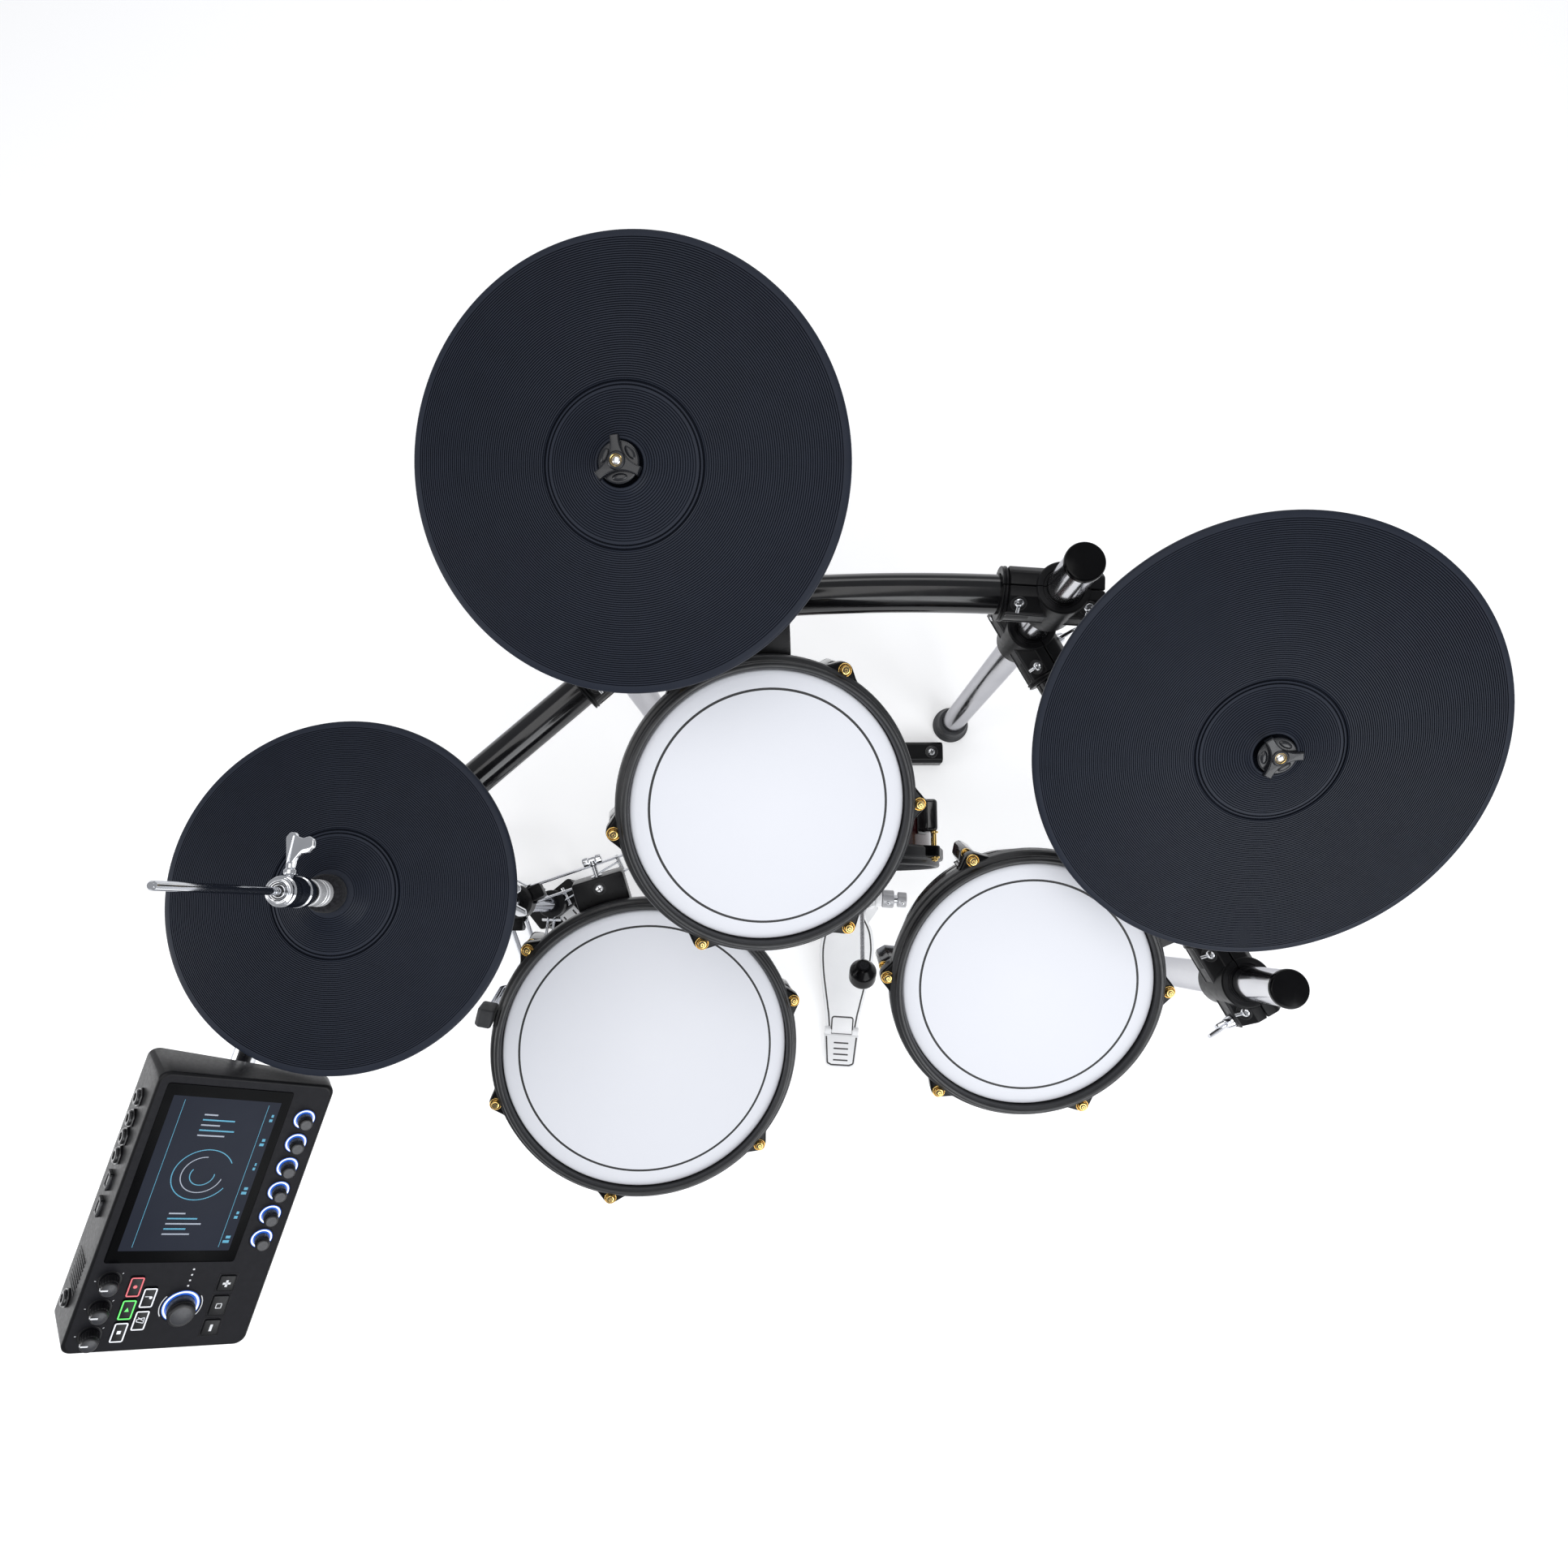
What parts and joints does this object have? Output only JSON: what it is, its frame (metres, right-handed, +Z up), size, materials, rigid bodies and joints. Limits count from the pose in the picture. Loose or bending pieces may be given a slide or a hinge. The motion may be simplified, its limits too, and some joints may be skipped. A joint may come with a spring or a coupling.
{
  "type": "electronic drum kit",
  "caption": "Electronic drum kit on a post-and-tube rack: mesh drum pads, rubber cymbal pads, hi-hat on a stand, kick tower with pedal and a tilting sound module.",
  "frame": {"origin": "centre of the kit's footprint box, on the floor", "axes": "+X to the player's right, +Y away from the player, +Z up"},
  "size_m": [1.2428, 0.8991, 1.073],
  "materials": {
    "chrome_steel": "polished chrome",
    "gloss_black_tube": "gloss black paint",
    "satin_black": "satin black",
    "bright_fastener": "bright zinc",
    "black_plastic": "fine matt texture",
    "gloss_plastic": "gloss",
    "dark_rubber": "matt rubber",
    "felt": "wool felt",
    "red_lacquer": "deep red lacquer",
    "mesh_white": "woven mesh",
    "gold": "gold plated",
    "foam": "foam and sensor board",
    "silver_board": "silver cast",
    "screen_glass": "dark cover glass",
    "button_cap": "translucent lit cap",
    "knob_grey": "soft touch"
  },
  "bodies": {
    "kit": {"rack_posts": "chrome_steel", "post_caps": "gloss_plastic", "rack_center_tube": "gloss_black_tube", "rack_wing_tubes": "gloss_black_tube", "rack_clamps": "satin_black", "clamp_bolts": "bright_fastener", "wing_nuts": "chrome_steel", "rubber_feet": "dark_rubber", "mount_rods": "chrome_steel", "cymbal_arms": "chrome_steel", "cymbal_felts": "felt", "hihat_stand": "chrome_steel", "hihat_pedal_frame": "satin_black", "stand_legs": "chrome_steel", "snare_basket": "chrome_steel", "kick_tower": "satin_black", "kick_pedal_frame": "satin_black", "kick_spring": "bright_fastener", "drum_shells": "red_lacquer", "drum_hoops": "dark_rubber", "drum_heads": "mesh_white", "drum_lugs": "gloss_plastic", "tension_rods": "gold", "drum_mounts": "black_plastic", "drum_sensors": "foam"},
    "crash_pad": {"crash_pad": "dark_rubber"},
    "crash_nut": {"crash_wing_nut": "black_plastic"},
    "ride_pad": {"ride_pad": "dark_rubber"},
    "ride_nut": {"ride_wing_nut": "black_plastic"},
    "hihat_top": {"hihat_pad": "dark_rubber", "hihat_clutch": "chrome_steel", "hihat_rod": "chrome_steel"},
    "hihat_screw": {"hihat_wing_screw": "bright_fastener"},
    "hihat_footboard": {"hihat_footboard": "silver_board"},
    "kick_beater": {"kick_beater": "bright_fastener"},
    "kick_footboard": {"kick_footboard": "silver_board"},
    "kick_link": {"kick_link": "bright_fastener"},
    "module": {"module_case": "black_plastic", "module_back": "black_plastic", "module_screen": "screen_glass", "module_jacks": "gloss_plastic", "module_bracket": "satin_black"},
    "encoder_knob_1": {"encoder_knob_1": "knob_grey"},
    "encoder_knob_2": {"encoder_knob_2": "knob_grey"},
    "encoder_knob_3": {"encoder_knob_3": "knob_grey"},
    "encoder_knob_4": {"encoder_knob_4": "knob_grey"},
    "encoder_knob_5": {"encoder_knob_5": "knob_grey"},
    "encoder_knob_6": {"encoder_knob_6": "knob_grey"},
    "main_dial": {"main_dial": "knob_grey"},
    "volume_knob_1": {"volume_knob_1": "knob_grey"},
    "volume_knob_2": {"volume_knob_2": "knob_grey"},
    "volume_knob_3": {"volume_knob_3": "knob_grey"},
    "button_record": {"button_record": "button_cap"},
    "button_play": {"button_play": "button_cap"},
    "button_stop": {"button_stop": "button_cap"},
    "button_tempo": {"button_tempo": "button_cap"},
    "button_metronome": {"button_metronome": "button_cap"},
    "key_plus": {"key_plus": "knob_grey"},
    "key_middle": {"key_middle": "knob_grey"},
    "key_minus": {"key_minus": "knob_grey"}
  },
  "joints": [
    {"name": "crash_rock", "type": "hinge", "parent": "kit", "child": "crash_pad", "pos_m": [-0.13259, 0.27513, 0.94987], "axis": [0.9947, -0.0272, 0.0987], "range_deg": [-7, 7], "stiffness_Nm_per_rad": 4},
    {"name": "ride_rock", "type": "hinge", "parent": "kit", "child": "ride_pad", "pos_m": [0.41815, 0.06997, 0.82793], "axis": [0.9974, -0.0325, 0.065], "range_deg": [-4.5, 4.5], "stiffness_Nm_per_rad": 6},
    {"name": "crash_nut_spin", "type": "hinge", "parent": "kit", "child": "crash_nut", "pos_m": [-0.13443, 0.27037, 0.96713], "axis": [-0.1024, -0.2645, 0.9589], "continuous": true},
    {"name": "ride_nut_spin", "type": "hinge", "parent": "kit", "child": "ride_nut", "pos_m": [0.41684, 0.06194, 0.84399], "axis": [-0.0727, -0.4464, 0.8919], "continuous": true},
    {"name": "hihat_pull", "type": "slide", "parent": "kit", "child": "hihat_top", "axis": [0, 0, 1], "range_m": [-0.018, 0], "stiffness_N_per_m": 2400, "springref_m": 0.02},
    {"name": "hihat_screw_spin", "type": "hinge", "parent": "hihat_top", "child": "hihat_screw", "pos_m": [-0.39127, -0.03635, 0.915], "axis": [0, 1, 0], "continuous": true},
    {"name": "hihat_treadle", "type": "hinge", "parent": "kit", "child": "hihat_footboard", "pos_m": [-0.246, -0.22948, 0.015], "axis": [0.766, 0.6428, 0], "range_deg": [-4.9, 0]},
    {"name": "kick_swing", "type": "hinge", "parent": "kit", "child": "kick_beater", "pos_m": [0.09433, -0.04535, 0.15], "axis": [0.9983, -0.0576, 0], "range_deg": [-59, 0], "stiffness_Nm_per_rad": 0.8, "springref_deg": 28.65, "deforming": ["kick_spring"]},
    {"name": "kick_treadle", "type": "hinge", "parent": "kit", "child": "kick_footboard", "pos_m": [0.08155, -0.26699, 0.014], "axis": [0.9983, -0.0576, 0], "range_deg": [-10.5, 0]},
    {"name": "kick_link_pivot", "type": "hinge", "parent": "kick_footboard", "child": "kick_link", "pos_m": [0.08207, -0.03211, 0.08926], "axis": [0.9983, -0.0576, 0], "range_deg": [0, 17.8]},
    {"name": "module_tilt", "type": "hinge", "parent": "kit", "child": "module", "pos_m": [-0.5307, -0.30692, 0.7688], "axis": [0.3322, 0.937, 0.1083], "range_deg": [-20, 20]},
    {"name": "encoder_knob_1_turn", "type": "hinge", "parent": "module", "child": "encoder_knob_1", "pos_m": [-0.42548, -0.25332, 0.79763], "axis": [0.5621, -0.2889, 0.775], "continuous": true},
    {"name": "encoder_knob_2_turn", "type": "hinge", "parent": "module", "child": "encoder_knob_2", "pos_m": [-0.43276, -0.27384, 0.79526], "axis": [0.5621, -0.2889, 0.775], "continuous": true},
    {"name": "encoder_knob_3_turn", "type": "hinge", "parent": "module", "child": "encoder_knob_3", "pos_m": [-0.44004, -0.29436, 0.79289], "axis": [0.5621, -0.2889, 0.775], "continuous": true},
    {"name": "encoder_knob_4_turn", "type": "hinge", "parent": "module", "child": "encoder_knob_4", "pos_m": [-0.44734, -0.31497, 0.79051], "axis": [0.5621, -0.2889, 0.775], "continuous": true},
    {"name": "encoder_knob_5_turn", "type": "hinge", "parent": "module", "child": "encoder_knob_5", "pos_m": [-0.45462, -0.33549, 0.78814], "axis": [0.5621, -0.2889, 0.775], "continuous": true},
    {"name": "encoder_knob_6_turn", "type": "hinge", "parent": "module", "child": "encoder_knob_6", "pos_m": [-0.4619, -0.35601, 0.78576], "axis": [0.5621, -0.2889, 0.775], "continuous": true},
    {"name": "main_dial_turn", "type": "hinge", "parent": "module", "child": "main_dial", "pos_m": [-0.51504, -0.40371, 0.80653], "axis": [0.5621, -0.2889, 0.775], "continuous": true},
    {"name": "volume_knob_1_turn", "type": "hinge", "parent": "module", "child": "volume_knob_1", "pos_m": [-0.55091, -0.37005, 0.84509], "axis": [0.5621, -0.2889, 0.775], "range_deg": [-140, 140]},
    {"name": "volume_knob_2_turn", "type": "hinge", "parent": "module", "child": "volume_knob_2", "pos_m": [-0.55868, -0.39197, 0.84256], "axis": [0.5621, -0.2889, 0.775], "range_deg": [-140, 140]},
    {"name": "volume_knob_3_turn", "type": "hinge", "parent": "module", "child": "volume_knob_3", "pos_m": [-0.56643, -0.4138, 0.84003], "axis": [0.5621, -0.2889, 0.775], "range_deg": [-140, 140]},
    {"name": "button_record_press", "type": "slide", "parent": "module", "child": "button_record", "axis": [0.5621, -0.2889, 0.775], "range_m": [-0.001, 0], "stiffness_N_per_m": 350, "springref_m": 0.002},
    {"name": "button_play_press", "type": "slide", "parent": "module", "child": "button_play", "axis": [0.5621, -0.2889, 0.775], "range_m": [-0.001, 0], "stiffness_N_per_m": 350, "springref_m": 0.002},
    {"name": "button_stop_press", "type": "slide", "parent": "module", "child": "button_stop", "axis": [0.5621, -0.2889, 0.775], "range_m": [-0.001, 0], "stiffness_N_per_m": 350, "springref_m": 0.002},
    {"name": "button_tempo_press", "type": "slide", "parent": "module", "child": "button_tempo", "axis": [0.5621, -0.2889, 0.775], "range_m": [-0.001, 0], "stiffness_N_per_m": 350, "springref_m": 0.002},
    {"name": "button_metronome_press", "type": "slide", "parent": "module", "child": "button_metronome", "axis": [0.5621, -0.2889, 0.775], "range_m": [-0.001, 0], "stiffness_N_per_m": 350, "springref_m": 0.002},
    {"name": "key_plus_press", "type": "slide", "parent": "module", "child": "key_plus", "axis": [0.5621, -0.2889, 0.775], "range_m": [-0.001, 0], "stiffness_N_per_m": 350, "springref_m": 0.002},
    {"name": "key_middle_press", "type": "slide", "parent": "module", "child": "key_middle", "axis": [0.5621, -0.2889, 0.775], "range_m": [-0.001, 0], "stiffness_N_per_m": 350, "springref_m": 0.002},
    {"name": "key_minus_press", "type": "slide", "parent": "module", "child": "key_minus", "axis": [0.5621, -0.2889, 0.775], "range_m": [-0.001, 0], "stiffness_N_per_m": 350, "springref_m": 0.002}
  ],
  "couplings": [
    {"joint": "hihat_treadle", "follows": "hihat_pull", "rad_per_m": 4.557},
    {"joint": "kick_treadle", "follows": "kick_swing", "ratio": 0.1737},
    {"joint": "kick_link_pivot", "follows": "kick_swing", "ratio": -0.294}
  ]
}
